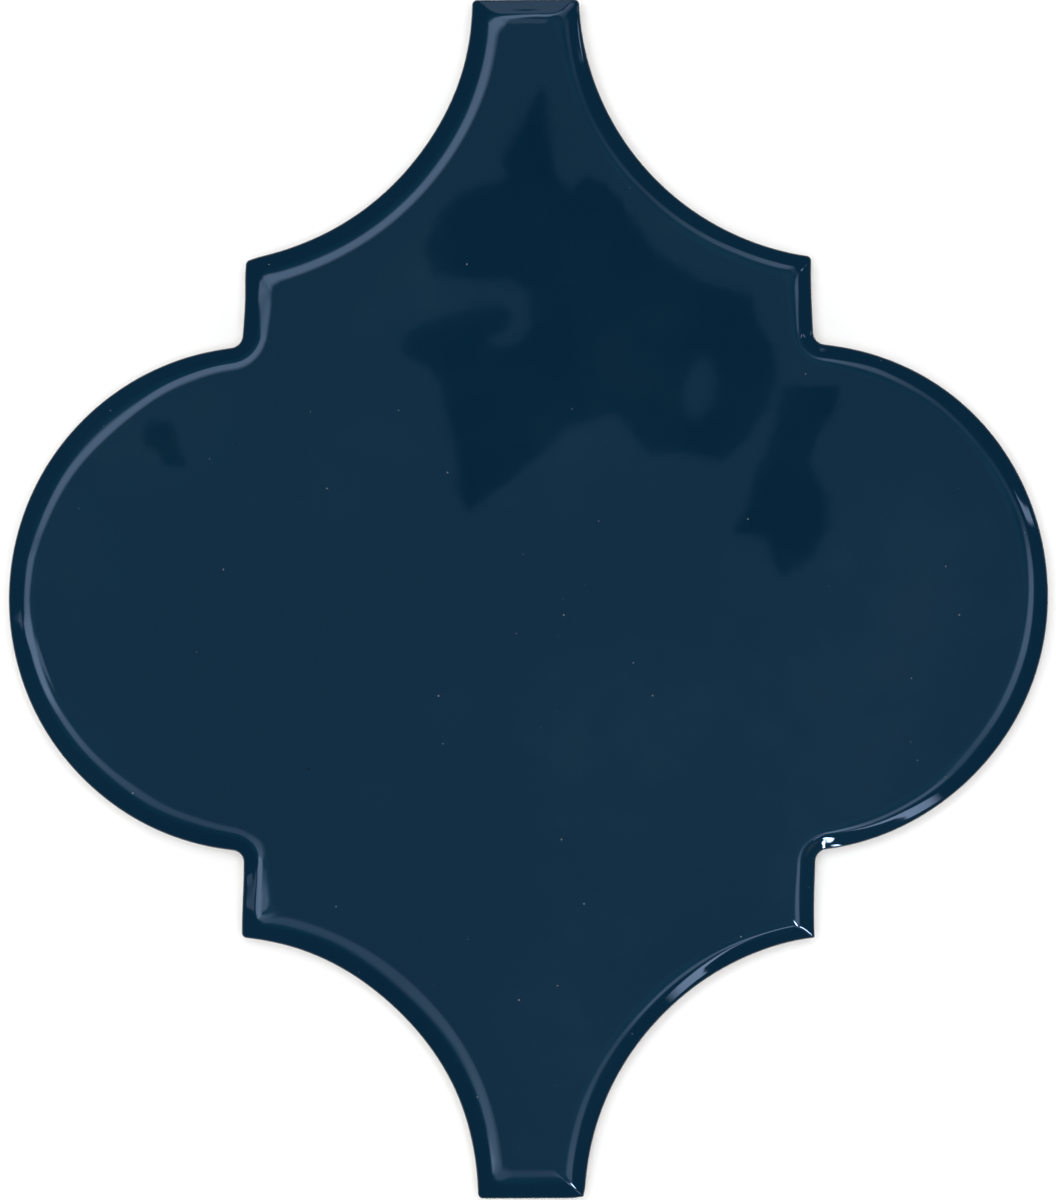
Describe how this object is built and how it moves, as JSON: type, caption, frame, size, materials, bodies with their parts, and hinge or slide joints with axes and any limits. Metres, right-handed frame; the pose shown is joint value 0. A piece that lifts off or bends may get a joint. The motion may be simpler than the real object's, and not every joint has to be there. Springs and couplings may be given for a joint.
{
  "type": "arabesque wall tile",
  "caption": "Glazed arabesque lantern tile with round side lobes, stepped shoulders, hollow flanks, flat neck ends and a softly bevelled rim.",
  "frame": {"origin": "middle of the back face, on the surface that the tile lies on", "axes": "+X from lobe to lobe, +Y from neck end to neck end, +Z out of the glazed face"},
  "size_m": [0.13, 0.15, 0.008],
  "materials": {
    "navy_glaze": "glossy dark navy glaze over an off-white fired clay body, bare on the back"
  },
  "bodies": {
    "root": {"arabesque_tile": "navy_glaze"}
  },
  "joints": []
}
